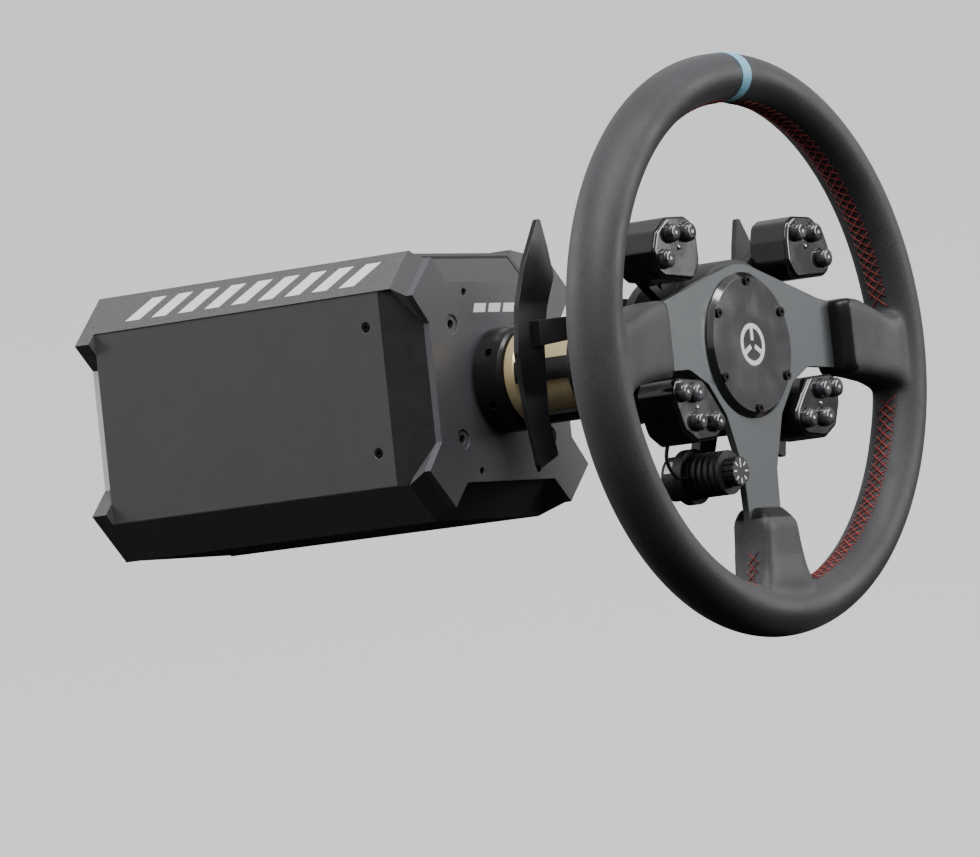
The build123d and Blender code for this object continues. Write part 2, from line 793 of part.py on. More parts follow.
with BuildPart() as rotary_knob:
    with BuildSketch(across(module_front + 0.3)):
        with Locations(module_place):
            Circle(knob_radius)
            with PolarLocations(knob_radius, 14):
                Circle(0.7, mode=Mode.SUBTRACT)
    extrude(amount=7)
    with BuildSketch(across(module_front + 0.3)):
        with Locations(module_place):
            Circle(2.55)
    extrude(amount=4.2, mode=Mode.SUBTRACT)
save(rotary_knob, "rotary_knob")

# ================================================================ shift paddles
paddle_back = 101.5
paddle_thickness = 3.0
lever_thickness = 4.0
pivot_x = 50.0
pivot_forward = 106.5
pivot_low = 13.0
pivot_high = 28.0
pin_radius = 2.0
ear_gap = 0.4
blade_tip = (96, 80)
blade_inside = [(91, 62), (88, 46), (97, 30), (103, 12), (105, -9), (106, -30), (101, -51)]
blade_outside = [(119, -58), (126, -25), (128.5, 5), (124, 30), (114, 53)]
blade = [blade_tip, *blade_inside, *blade_outside]
lever = [(pivot_x, pivot_low + 2), (112, 8), (112, 22), (pivot_x, pivot_high - 2)]

for side, side_name in ((-1, "left"), (1, "right")):
    pivot = Plane(origin=(side * pivot_x, front_face_y - pivot_forward, shaft_height + pivot_low))
    with BuildPart() as paddle:
        with BuildSketch(across(paddle_back)):
            Polygon(*[(side * x, z) for x, z in blade])
        extrude(amount=paddle_thickness)
        fillet(paddle.edges().filter_by(Axis.Y), radius=2)
        with BuildSketch(across(paddle_back + paddle_thickness)):
            Polygon(*[(side * x, z) for x, z in lever])
        extrude(amount=lever_thickness)
        with BuildSketch(pivot):
            Circle(5)
        extrude(amount=pivot_high - pivot_low)
        with BuildSketch(pivot):
            Circle(pin_radius + running_gap)
        extrude(amount=pivot_high - pivot_low, mode=Mode.SUBTRACT)
    save(paddle, f"paddle_{side_name}")

# Brackets on the hub's rear flange: two ears and a pin on each side.
ear_thickness = 4.0
bracket_low = pivot_low - ear_gap - ear_thickness
bracket_high = pivot_high + ear_gap + ear_thickness
bracket_front = flange_back

with BuildPart() as paddle_brackets:
    for side in (-1, 1):
        with BuildSketch(Plane.XY.offset(shaft_height + bracket_low)):
            with Locations((side * 44.5, front_face_y - (paddle_back + bracket_front) / 2)):
                Rectangle(23, bracket_front - paddle_back)
        extrude(amount=bracket_high - bracket_low)
        with BuildSketch(Plane.XY.offset(shaft_height + pivot_low - ear_gap)):
            with Locations((side * 50.75, front_face_y - (paddle_back + bracket_front) / 2)):
                Rectangle(12.5, bracket_front - paddle_back + 2)
        extrude(amount=pivot_high - pivot_low + 2 * ear_gap, mode=Mode.SUBTRACT)
        with BuildSketch(Plane(origin=(side * pivot_x, front_face_y - pivot_forward,
                                       shaft_height + bracket_low))):
            Circle(pin_radius)
        extrude(amount=bracket_high - bracket_low)
save(paddle_brackets, "paddle_brackets")
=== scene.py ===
import json
import math

import bmesh
import bpy
import numpy as np
from mathutils import Matrix, Vector


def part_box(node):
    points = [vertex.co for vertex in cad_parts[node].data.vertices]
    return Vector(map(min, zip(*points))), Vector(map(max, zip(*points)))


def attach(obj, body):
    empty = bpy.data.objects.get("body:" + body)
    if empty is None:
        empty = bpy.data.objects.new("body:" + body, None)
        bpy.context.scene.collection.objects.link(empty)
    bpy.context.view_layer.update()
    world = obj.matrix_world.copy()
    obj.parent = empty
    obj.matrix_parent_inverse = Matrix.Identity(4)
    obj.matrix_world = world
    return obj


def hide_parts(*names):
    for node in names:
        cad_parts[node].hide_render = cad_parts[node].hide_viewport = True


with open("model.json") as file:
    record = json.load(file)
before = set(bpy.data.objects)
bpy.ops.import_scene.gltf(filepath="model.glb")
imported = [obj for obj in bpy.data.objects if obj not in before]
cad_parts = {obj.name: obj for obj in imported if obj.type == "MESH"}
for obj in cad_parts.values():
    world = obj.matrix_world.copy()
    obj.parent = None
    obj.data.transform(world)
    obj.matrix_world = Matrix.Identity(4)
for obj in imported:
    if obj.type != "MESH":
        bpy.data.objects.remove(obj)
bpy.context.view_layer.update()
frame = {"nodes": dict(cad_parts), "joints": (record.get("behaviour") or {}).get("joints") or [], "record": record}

MM = 0.001

# ---------------------------------------------------------------- places read from the frame
steering = next(joint for joint in frame["joints"] if joint["name"] == "steering")
shaft_z = steering["pos_m"][2]
grip_low, grip_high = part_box("rim_grip")
rim_y = (grip_low.y + grip_high.y) / 2
rim_outer = (grip_high.x - grip_low.x) / 2
grip_axial = (grip_high.y - grip_low.y) / 2
grip_radial = 13.3 * MM
grip_middle = rim_outer - grip_radial
base_front_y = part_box("front_plate")[0].y


def forward(distance_mm):
    """The y of a plane this far in front of the base's front face."""
    return base_front_y - distance_mm * MM


def on_wheel(x_mm, z_mm, forward_mm):
    """A point given across the shaft, above the shaft and in front of the base."""
    return Vector((x_mm * MM, forward(forward_mm), shaft_z + z_mm * MM))


# ================================================================ camera, lights and floor
def make_camera():
    data = bpy.data.cameras.new("camera")
    data.sensor_width = 36
    data.lens = 290
    data.clip_start, data.clip_end = 0.1, 60
    camera = bpy.data.objects.new("camera", data)
    bpy.context.collection.objects.link(camera)
    camera.location = (-3.574, -2.667, -0.161)
    aim = Vector((-0.0995, -0.1795, 0.044))
    lean = math.radians(6.0)
    ahead = (aim - camera.location).normalized()
    across = ahead.cross(Vector((0, 0, 1))).normalized()
    upright = across.cross(ahead)
    top = upright * math.cos(lean) + across * math.sin(lean)
    right = ahead.cross(top)
    camera.rotation_mode = "QUATERNION"
    camera.rotation_quaternion = Matrix((right, top, -ahead)).transposed().to_quaternion()
    bpy.context.scene.camera = camera


def area_light(name, place, target, size, power):
    data = bpy.data.lights.new(name, "AREA")
    data.shape = "RECTANGLE"
    data.size, data.size_y = size
    data.energy = power
    light = bpy.data.objects.new(name, data)
    light.location = place
    light.rotation_mode = "QUATERNION"
    light.rotation_quaternion = (Vector(target) - Vector(place)).to_track_quat("-Z", "Y")
    bpy.context.collection.objects.link(light)


def make_world():
    """Bright studio walls and ceiling over a dark ground, so undersides fall dark."""
    world = bpy.data.worlds.new("studio")
    bpy.context.scene.world = world
    world.use_nodes = True
    nodes, links = world.node_tree.nodes, world.node_tree.links
    background = nodes["Background"]
    place = nodes.new("ShaderNodeTexCoord")
    split = nodes.new("ShaderNodeSeparateXYZ")
    ramp = nodes.new("ShaderNodeValToRGB")
    links.new(place.outputs["Generated"], split.inputs[0])
    links.new(split.outputs["Z"], ramp.inputs["Fac"])
    links.new(ramp.outputs["Color"], background.inputs["Color"])
    ramp.color_ramp.elements[0].position = 0.0
    ramp.color_ramp.elements[0].color = (0.02, 0.02, 0.02, 1)
    ramp.color_ramp.elements[1].position = 0.25
    ramp.color_ramp.elements[1].color = (0.80, 0.80, 0.81, 1)
    horizon = ramp.color_ramp.elements.new(0.02)
    horizon.color = (0.42, 0.42, 0.43, 1)
    background.inputs["Strength"].default_value = 0.62


def make_stage():
    """A plain pale floor well below the object, rising into a backdrop behind it."""
    floor_z = -0.75
    wall = 10.0
    bend = 2.0
    half_width = 12.0
    steps = 12
    profile = [(-wall, floor_z), (wall - bend, floor_z)]
    for step in range(1, steps + 1):
        turn = math.radians(90 * step / steps)
        profile.append((wall - bend + bend * math.sin(turn), floor_z + bend * (1 - math.cos(turn))))
    profile.append((wall, wall))
    ahead = Vector((0.82, 0.57, 0)).normalized()
    side = Vector((-ahead.y, ahead.x, 0))
    verts, faces = [], []
    for depth, height in profile:
        for across in (-half_width, half_width):
            verts.append(ahead * depth + side * across + Vector((0, 0, height)))
    for row in range(len(profile) - 1):
        faces.append((2 * row, 2 * row + 1, 2 * row + 3, 2 * row + 2))
    mesh = bpy.data.meshes.new("floor")
    mesh.from_pydata([tuple(v) for v in verts], [], faces)
    for face in mesh.polygons:
        face.use_smooth = True
    floor = bpy.data.objects.new("floor", mesh)
    bpy.context.collection.objects.link(floor)
    material = bpy.data.materials.new("floor_paper")
    material.use_nodes = True
    shader = material.node_tree.nodes["Principled BSDF"]
    shader.inputs["Base Color"].default_value = (0.86, 0.86, 0.86, 1)
    shader.inputs["Roughness"].default_value = 0.9
    shader.inputs["Emission Color"].default_value = (1, 1, 1, 1)
    shader.inputs["Emission Strength"].default_value = 0.72
    floor.data.materials.append(material)
    floor.visible_diffuse = False
    floor.visible_glossy = False


make_camera()
make_world()
make_stage()
area_light("key", (-1.5, -0.9, 2.4), (0, -0.1, 0.05), (1.6, 1.6), 66)
area_light("front", (1.9, -2.6, 0.9), (0, -0.2, 0.05), (1.6, 1.4), 46)
area_light("rear", (-1.2, 2.6, 1.3), (0, 0, 0.05), (1.6, 1.4), 40)
area_light("glint", (0.04, -1.48, 1.91), (0, -0.29, 0.06), (0.8, 0.5), 14)


# ================================================================ materials
class Look:
    """A Principled material with helpers for object-space textures, in metres."""

    def __init__(self, name, colour, roughness, metallic=0.0, **extra):
        self.name = name
        self.material = bpy.data.materials.new(name)
        self.material.use_nodes = True
        self.tree = self.material.node_tree
        self.nodes, self.links = self.tree.nodes, self.tree.links
        self.shader = self.nodes["Principled BSDF"]
        self.set("Base Color", (*colour, 1))
        self.set("Roughness", roughness)
        self.set("Metallic", metallic)
        for key, value in extra.items():
            self.set(key.replace("_", " "), value)
        self.place = self.nodes.new("ShaderNodeTexCoord")
        self.normal = None

    def set(self, socket, value):
        self.shader.inputs[socket].default_value = value

    def stretched(self, factors):
        """Object coordinates scaled along each axis, for grain that runs one way."""
        mapping = self.nodes.new("ShaderNodeMapping")
        mapping.inputs["Scale"].default_value = factors
        self.links.new(self.place.outputs["Object"], mapping.inputs["Vector"])
        return mapping.outputs["Vector"]

    def noise(self, size_mm, detail=3.0, vector=None):
        """Noise whose features are about this many millimetres across."""
        node = self.nodes.new("ShaderNodeTexNoise")
        node.inputs["Scale"].default_value = 1000.0 / size_mm
        node.inputs["Detail"].default_value = detail
        self.links.new(vector or self.place.outputs["Object"], node.inputs["Vector"])
        return node.outputs["Fac"]

    def cells(self, size_mm, feature="F1"):
        node = self.nodes.new("ShaderNodeTexVoronoi")
        node.feature = feature
        node.inputs["Scale"].default_value = 1000.0 / size_mm
        self.links.new(self.place.outputs["Object"], node.inputs["Vector"])
        return node.outputs["Distance"]

    def span(self, value, low, high, to_low=0.0, to_high=1.0):
        node = self.nodes.new("ShaderNodeMapRange")
        for socket, number in zip(("From Min", "From Max", "To Min", "To Max"),
                                  (low, high, to_low, to_high)):
            node.inputs[socket].default_value = number
        self.links.new(value, node.inputs["Value"])
        return node.outputs["Result"]

    def math(self, operation, first, second):
        node = self.nodes.new("ShaderNodeMath")
        node.operation = operation
        for socket, value in zip(node.inputs, (first, second)):
            if isinstance(value, (int, float)):
                socket.default_value = value
            else:
                self.links.new(value, socket)
        return node.outputs[0]

    def mix(self, factor, first, second):
        """A colour between two, each a tuple or a socket."""
        node = self.nodes.new("ShaderNodeMix")
        node.data_type = "RGBA"
        self.links.new(factor, node.inputs["Factor"])
        for socket, value in zip(("A", "B"), (first, second)):
            target = [s for s in node.inputs if s.name == socket and s.type == "RGBA"][0]
            if isinstance(value, tuple):
                target.default_value = (*value, 1)
            else:
                self.links.new(value, target)
        return [s for s in node.outputs if s.type == "RGBA"][0]

    def paint(self, value):
        self.links.new(value, self.shader.inputs["Base Color"])

    def rough(self, value):
        self.links.new(value, self.shader.inputs["Roughness"])

    def bump(self, height, depth_mm, strength=1.0):
        node = self.nodes.new("ShaderNodeBump")
        node.inputs["Strength"].default_value = strength
        node.inputs["Distance"].default_value = depth_mm * MM
        self.links.new(height, node.inputs["Height"])
        if self.normal is not None:
            self.links.new(self.normal, node.inputs["Normal"])
        self.normal = node.outputs["Normal"]
        self.links.new(self.normal, self.shader.inputs["Normal"])

    def round_edges(self, radius_mm):
        """Softens the machined edges of a CAD piece in its shading."""
        node = self.nodes.new("ShaderNodeBevel")
        node.samples = 4
        node.inputs["Radius"].default_value = radius_mm * MM
        self.normal = node.outputs["Normal"]
        self.links.new(self.normal, self.shader.inputs["Normal"])
        return node.outputs["Normal"]

    def edge_mask(self, bevel_normal, low=0.004, high=0.10):
        """1 on worn edges, 0 on flats: where the rounded normal leaves the flat one."""
        flat = self.nodes.new("ShaderNodeNewGeometry")
        dot = self.nodes.new("ShaderNodeVectorMath")
        dot.operation = "DOT_PRODUCT"
        self.links.new(bevel_normal, dot.inputs[0])
        self.links.new(flat.outputs["Normal"], dot.inputs[1])
        away = self.math("SUBTRACT", 1.0, dot.outputs["Value"])
        return self.span(away, low, high)


def shade(colour, factor):
    return tuple(min(1.0, part * factor) for part in colour)


def painted(name, colour, roughness=0.42, grain_mm=0.5, depth_mm=0.012, edge=1.7, metallic=0.0):
    """Satin paint or anodising: fine grain, faint blotches and edges that catch wear."""
    look = Look(name, colour, roughness, metallic)
    rounded = look.round_edges(0.5)
    blotch = look.noise(55.0, 2.0)
    body = look.mix(look.span(blotch, 0.3, 0.7), shade(colour, 0.96), shade(colour, 1.04))
    edges = look.edge_mask(rounded)
    worn = look.math("MULTIPLY", edges, look.span(look.noise(6.0), 0.35, 0.6, 0.35, 1.0))
    look.paint(look.mix(worn, body, shade(colour, edge)))
    look.rough(look.span(look.noise(9.0, 4.0), 0.3, 0.7, roughness - 0.05, roughness + 0.07))
    look.bump(look.noise(grain_mm, 2.0), depth_mm)
    return look


def textured_paint(name, colour):
    """Coarser powder coat, as on the corner rails: visible speckle and pits."""
    look = Look(name, colour, 0.55)
    rounded = look.round_edges(0.6)
    speckle = look.noise(0.9, 4.0)
    body = look.mix(look.span(speckle, 0.36, 0.64), shade(colour, 0.74), shade(colour, 1.28))
    edges = look.edge_mask(rounded)
    worn = look.math("MULTIPLY", edges, look.span(look.noise(5.0), 0.4, 0.6, 0.2, 0.8))
    look.paint(look.mix(worn, body, shade(colour, 1.6)))
    look.bump(look.cells(0.8), 0.05, 0.6)
    look.bump(speckle, 0.04, 0.7)
    return look


def brushed(name, colour, along, roughness=0.30, metallic=1.0, contrast=0.10):
    """Bare metal with fine machining lines along one axis."""
    look = Look(name, colour, roughness, metallic)
    look.round_edges(0.3)
    lines = look.noise(0.35, 3.0, look.stretched(along))
    spread = 0.7 * contrast
    look.rough(look.span(lines, 0.3, 0.7, roughness - spread, roughness + spread))
    darker = shade(colour, 1 - contrast)
    lighter = shade(colour, 1 + contrast)
    look.paint(look.mix(look.span(lines, 0.3, 0.7), darker, lighter))
    look.bump(lines, 0.0012)
    return look


def gloss(name, colour, roughness=0.10, smear=0.10, coat=0.3):
    """Glossy moulded plastic with faint finger smears and moulding waviness."""
    look = Look(name, colour, roughness, Coat_Weight=coat, Coat_Roughness=0.04,
                Specular_IOR_Level=0.5 + coat / 2)
    look.round_edges(0.45)
    smears = look.noise(14.0, 2.0)
    look.rough(look.span(smears, 0.42, 0.68, roughness, roughness + smear))
    look.paint(look.mix(look.span(look.noise(30.0), 0.35, 0.65), shade(colour, 0.85), shade(colour, 1.2)))
    look.bump(look.noise(7.0, 1.0), 0.02)
    return look


def moulded(name, colour, roughness=0.55):
    """Matte moulded plastic with a fine spark-eroded grain."""
    look = Look(name, colour, roughness)
    look.round_edges(0.4)
    look.rough(look.span(look.noise(8.0), 0.35, 0.65, roughness - 0.06, roughness + 0.08))
    look.paint(look.mix(look.span(look.noise(25.0), 0.35, 0.65), shade(colour, 0.85), shade(colour, 1.2)))
    look.bump(look.cells(0.45), 0.03, 0.5)
    return look


def leather(name, colour):
    """Smooth wheel leather: pebble grain with painted shade in its creases, pores, soft wear and a slight sheen.
    """
    look = Look(name, colour, 0.50, Specular_IOR_Level=0.42, Sheen_Weight=0.12, Sheen_Roughness=0.45)
    tone = look.mix(look.span(look.noise(45.0, 4.0), 0.32, 0.68), shade(colour, 0.82), shade(colour, 1.16))
    grain = look.cells(1.15, "DISTANCE_TO_EDGE")
    crease = look.span(grain, 0.0, 0.16)
    # The grain's creases are painted darker: painted shade in the valleys of the grain.
    look.paint(look.mix(crease, shade(colour, 0.62), tone))
    look.rough(look.span(look.noise(22.0, 4.0), 0.3, 0.7, 0.42, 0.60))
    look.bump(crease, 0.055, 0.55)
    look.bump(look.noise(0.35, 2.0), 0.02, 0.5)
    look.bump(look.noise(9.0, 2.0), 0.10, 0.5)
    return look


def grip_leather(name, colour):
    """Leather whose spoke wraps end in a smooth black collar, set by place on the wheel."""
    side_end = 91.5
    lower_end = 95.0
    rim_start = 125.0
    front_edge = 177.2
    look = leather(name, colour)
    split = look.nodes.new("ShaderNodeSeparateXYZ")
    look.links.new(look.place.outputs["Object"], split.inputs[0])
    height = look.math("SUBTRACT", split.outputs["Z"], shaft_z)
    sideways = look.math("ABSOLUTE", split.outputs["X"], 0)
    squares = look.math("ADD", look.math("POWER", sideways, 2), look.math("POWER", height, 2))
    cap = look.math("LESS_THAN", sideways, side_end * MM)
    cap = look.math("MULTIPLY", cap, look.math("GREATER_THAN", height, -lower_end * MM))
    cap = look.math("MULTIPLY", cap, look.math("LESS_THAN", squares, (rim_start * MM) ** 2))
    cap = look.math("MULTIPLY", cap, look.math("GREATER_THAN", split.outputs["Y"], forward(front_edge)))
    skin = look.shader.inputs["Base Color"].links[0].from_socket
    look.paint(look.mix(cap, skin, (0.007, 0.007, 0.008)))
    worn = look.shader.inputs["Roughness"].links[0].from_socket
    sleek = look.nodes.new("ShaderNodeMix")
    look.links.new(cap, sleek.inputs["Factor"])
    look.links.new(worn, sleek.inputs["A"])
    sleek.inputs["B"].default_value = 0.28
    look.rough(sleek.outputs["Result"])
    return look


def smoky_clear(name):
    """Dark smoky dome of a button: clear coat over a murky body."""
    look = Look(name, (0.05, 0.05, 0.055), 0.05, Coat_Weight=1.0, Coat_Roughness=0.03)
    look.round_edges(0.5)
    look.paint(look.mix(look.span(look.noise(4.0), 0.35, 0.65), (0.022, 0.022, 0.025), (0.11, 0.11, 0.12)))
    look.rough(look.span(look.noise(3.0), 0.4, 0.7, 0.04, 0.14))
    return look


looks = {look.name: look for look in (
    painted("face_paint", (0.100, 0.101, 0.110), 0.40),
    painted("cowl_paint", (0.078, 0.079, 0.082), 0.42),
    moulded("cheek_plastic", (0.014, 0.014, 0.015), 0.5),
    textured_paint("rail_paint", (0.118, 0.118, 0.121)),
    painted("panel_paint", (0.066, 0.066, 0.070), 0.46),
    brushed("housing_aluminium", (0.32, 0.33, 0.34), (1, 0.1, 1), 0.45),
    brushed("rear_aluminium", (0.80, 0.80, 0.81), (0.04, 1, 1), 0.40, metallic=0.45, contrast=0.04),
    moulded("socket_plastic", (0.016, 0.016, 0.016)),
    gloss("power_plastic", (0.03, 0.03, 0.03)),
    brushed("screw_steel", (0.022, 0.022, 0.023), (1, 1, 1), 0.34),
    brushed("lamination_steel", (0.33, 0.34, 0.36), (0.1, 1, 0.1), 0.4),
    brushed("copper", (0.72, 0.34, 0.17), (1, 0.1, 1), 0.3),
    brushed("bearing_steel", (0.70, 0.70, 0.72), (1, 1, 1), 0.16),
    moulded("board", (0.02, 0.14, 0.06), 0.4),
    brushed("shaft_steel", (0.55, 0.55, 0.57), (0.1, 1, 0.1), 0.22),
    brushed("magnet", (0.46, 0.47, 0.49), (1, 1, 1), 0.25),
    gloss("disc_glass", (0.3, 0.3, 0.32)),
    painted("clamp_black", (0.010, 0.010, 0.011), 0.26, grain_mm=0.4, depth_mm=0.006, edge=2.6),
    brushed("gold", (0.90, 0.74, 0.42), (0.04, 1, 0.04), 0.30, metallic=0.62, contrast=0.04),
    painted("hub_black", (0.016, 0.017, 0.019), 0.34, grain_mm=0.4, depth_mm=0.008, edge=2.2),
    painted("plate_aluminium", (0.118, 0.126, 0.131), 0.36, grain_mm=0.35, depth_mm=0.006, edge=1.5,
            metallic=0.35),
    brushed("core_aluminium", (0.4, 0.4, 0.42), (1, 1, 1), 0.35),
    grip_leather("leather", (0.068, 0.069, 0.074)),
    leather("stripe", (0.30, 0.70, 0.98)),
    gloss("badge_black", (0.020, 0.021, 0.024), 0.10, smear=0.06, coat=1.0),
    gloss("pod_black", (0.008, 0.008, 0.009), 0.12, smear=0.10, coat=0.7),
    smoky_clear("button_clear"),
    moulded("module_black", (0.018, 0.018, 0.020)),
    moulded("knob_black", (0.022, 0.022, 0.024), 0.4),
    painted("paddle_black", (0.013, 0.0135, 0.015), 0.34, grain_mm=0.4, depth_mm=0.008, edge=6.0),
)}
for subpart in frame["record"]["subparts"]:
    node = frame["nodes"][subpart["node"]]
    chosen = looks[subpart["material_slot"]].material
    for slot in node.material_slots:
        slot.material = chosen
    if not node.material_slots:
        node.data.materials.append(chosen)


# ================================================================ mesh helpers
def mesh_piece(name, verts, faces, look, body, smooth=True):
    mesh = bpy.data.meshes.new(name)
    mesh.from_pydata([tuple(v) for v in verts], [], faces)
    mesh.validate()
    if smooth:
        mesh.shade_smooth()
    mesh.materials.append(look.material)
    piece = bpy.data.objects.new(name, mesh)
    bpy.context.collection.objects.link(piece)
    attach(piece, body)
    return piece


def lofted(sections, closed=False):
    """Verts and faces of a skin through rings of points; open ends are capped."""
    count = len(sections[0])
    verts = [point for ring in sections for point in ring]
    faces = []
    rings = len(sections)
    for row in range(rings if closed else rings - 1):
        start, after = row * count, ((row + 1) % rings) * count
        for place in range(count):
            beside = (place + 1) % count
            faces.append((start + place, start + beside, after + beside, after + place))
    if not closed:
        faces.append(tuple(reversed(range(count))))
        faces.append(tuple(range((rings - 1) * count, rings * count)))
    return verts, faces


def tube(points, radius, sides=6):
    """Verts and faces of a round tube along a few points."""
    sections = []
    for index, point in enumerate(points):
        before = points[max(index - 1, 0)]
        after = points[min(index + 1, len(points) - 1)]
        along = (after - before).normalized()
        across = along.orthogonal().normalized()
        over = along.cross(across)
        end = radius * (0.45 if index in (0, len(points) - 1) else 1.0)
        sections.append([point + (across * math.cos(t) + over * math.sin(t)) * end
                         for t in (2 * math.pi * side / sides for side in range(sides))])
    return lofted(sections)


def gathered(parts):
    """Several (verts, faces) as one."""
    verts, faces = [], []
    for part_verts, part_faces in parts:
        shift = len(verts)
        verts.extend(part_verts)
        faces.extend(tuple(index + shift for index in face) for face in part_faces)
    return verts, faces


def rim_point(angle, axial, lift):
    """A point on the grip's inner side: angle round the rim, axial offset towards the driver."""
    inward = grip_radial * math.sqrt(max(0.0, 1 - (axial / grip_axial) ** 2)) + lift
    radius = grip_middle - inward
    return Vector((radius * math.cos(angle), rim_y - axial, shaft_z + radius * math.sin(angle)))


# ================================================================ leather rim and spoke wraps
def rim_skin():
    """Verts and faces of the bare grip, an oval ring about the shaft."""
    around = 360
    across = 48
    sections = []
    for step in range(around):
        angle = 2 * math.pi * step / around
        ring = []
        for place in range(across):
            turn = 2 * math.pi * place / across
            radius = grip_middle + grip_radial * math.cos(turn)
            ring.append(Vector((radius * math.cos(angle), rim_y - grip_axial * math.sin(turn),
                                shaft_z + radius * math.sin(angle))))
        sections.append(ring)
    return lofted(sections, closed=True)


def wrap_ring(along, low, high, back, front, to_point, squareness=7.0, count=56):
    """A rounded-rectangle ring across a spoke: low to high across it, back to front in depth."""
    ring = []
    for place in range(count):
        turn = 2 * math.pi * place / count
        c, s = math.cos(turn), math.sin(turn)
        reach = (abs(c) ** squareness + abs(s) ** squareness) ** (-1 / squareness)
        across = (low + high) / 2 + (high - low) / 2 * reach * c
        depth = (back + front) / 2 + (front - back) / 2 * reach * s
        ring.append(to_point(along, across, depth))
    return ring


# Stations along a spoke wrap: distance out, lower edge, upper edge, back and front (mm).
side_stations = [(83.8, -13.5, 19.5, 158, 169.5), (84.3, -15.6, 21.8, 155.5, 172.2),
                 (86.0, -17.2, 23.4, 153.8, 175.2), (88.8, -17.9, 24.2, 153, 177.3),
                 (92.0, -18.0, 24.4, 153, 178.0), (100, -18.4, 23.6, 153, 178.2),
                 (110, -19.8, 20.2, 153, 178.4), (119, -21.4, 16.8, 153, 179.0),
                 (126, -23.6, 14.6, 153, 180.0), (132, -26.5, 14.6, 153.6, 181.0),
                 (139, -30.0, 15.6, 156, 180.0)]
lower_stations = [(88.8, -9.0, 9.0, 158, 169.5), (89.3, -10.4, 10.4, 155.5, 171.6),
                  (91.5, -12.0, 12.0, 154, 173.6), (94.5, -14.2, 14.2, 153.2, 175.8),
                  (97.5, -15.8, 15.8, 153, 177.4), (101, -16.4, 16.4, 153, 178.0),
                  (108, -17.2, 17.2, 153, 178.2), (116, -18.8, 18.8, 153, 178.4),
                  (123, -20.6, 20.6, 153, 179.2), (130, -23.6, 23.6, 153.4, 180.4),
                  (138, -27.0, 27.0, 156, 180.0)]


def left_point(along, across, depth):
    return on_wheel(-along, across, depth)


def lower_point(along, across, depth):
    return on_wheel(across, -along, depth)


def wrap_skins():
    """Verts and faces of the right, left and lower spoke wraps."""
    skins = []
    for stations, place in ((side_stations, on_wheel), (side_stations, left_point),
                            (lower_stations, lower_point)):
        rings = [wrap_ring(*station, place) for station in stations]
        skins.append(lofted(rings))
    return skins


def outward_faces(piece):
    work = bmesh.new()
    work.from_mesh(piece.data)
    bmesh.ops.recalc_face_normals(work, faces=work.faces)
    work.to_mesh(piece.data)
    work.free()


def apply_modifiers(piece):
    graph = bpy.context.evaluated_depsgraph_get()
    made = bpy.data.meshes.new_from_object(piece.evaluated_get(graph))
    old = piece.data
    piece.modifiers.clear()
    piece.data = made
    bpy.data.meshes.remove(old)


def relax(verts, edges, weight, rounds):
    """Laplacian smoothing of chosen vertices."""
    count = np.bincount(edges.ravel(), minlength=len(verts))[:, None]
    for _ in range(rounds):
        total = np.zeros_like(verts)
        np.add.at(total, edges[:, 0], verts[edges[:, 1]])
        np.add.at(total, edges[:, 1], verts[edges[:, 0]])
        verts = verts + (total / np.maximum(count, 1) - verts) * 0.5 * weight[:, None]
    return verts


def mesh_arrays(mesh):
    """A mesh's vertex places and edges as arrays."""
    verts = np.empty(len(mesh.vertices) * 3)
    mesh.vertices.foreach_get("co", verts)
    edges = np.empty(len(mesh.edges) * 2, dtype=np.int32)
    mesh.edges.foreach_get("vertices", edges)
    return verts.reshape(-1, 3), edges.reshape(-1, 2)


def spoke_weight(verts):
    """1 where a spoke wrap runs into the grip, fading to 0 round about."""
    spoke_angles = (-4, 184, -90)
    half_angle = 17
    fade_angle = 5
    radius = np.hypot(verts[:, 0], verts[:, 2] - shaft_z)
    angle = np.degrees(np.arctan2(verts[:, 2] - shaft_z, verts[:, 0]))
    weight = np.zeros(len(verts))
    for centre in spoke_angles:
        away = np.abs((angle - centre + 180) % 360 - 180)
        weight = np.maximum(weight, np.clip((half_angle - away) / fade_angle, 0, 1))
    past_wrap = np.clip((radius - 117 * MM) / (10 * MM), 0, 1)
    inside_rim = np.clip((148 * MM - radius) / (8 * MM), 0, 1)
    return weight * (past_wrap * inside_rim)


def make_leather():
    """One skin for the grip and the three wrapped spoke ends, blended where they meet."""
    verts, faces = gathered([rim_skin(), *wrap_skins()])
    piece = mesh_piece("leather_grip", verts, faces, looks["leather"], "wheel")
    outward_faces(piece)
    remesh = piece.modifiers.new("union", "REMESH")
    remesh.mode = "VOXEL"
    remesh.voxel_size = 1.1 * MM
    apply_modifiers(piece)
    mesh = piece.data
    verts, edges = mesh_arrays(mesh)
    verts = relax(verts, edges, spoke_weight(verts), 28)
    verts = relax(verts, edges, np.full(len(verts), 0.6), 2)
    mesh.vertices.foreach_set("co", verts.ravel())
    mesh.update()
    mesh.shade_smooth()
    mesh.materials.clear()
    mesh.materials.append(looks["leather"].material)
    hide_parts("rim_grip", "spoke_wraps")


# ---- stitching round the inside of the rim
thread_look = Look("red_thread", (0.30, 0.022, 0.018), 0.62, Sheen_Weight=0.3)
thread_look.bump(thread_look.noise(0.25, 2.0), 0.05)
thread_look.paint(thread_look.mix(thread_look.span(thread_look.noise(2.5), 0.35, 0.65),
                                  (0.16, 0.010, 0.010), (0.46, 0.040, 0.030)))


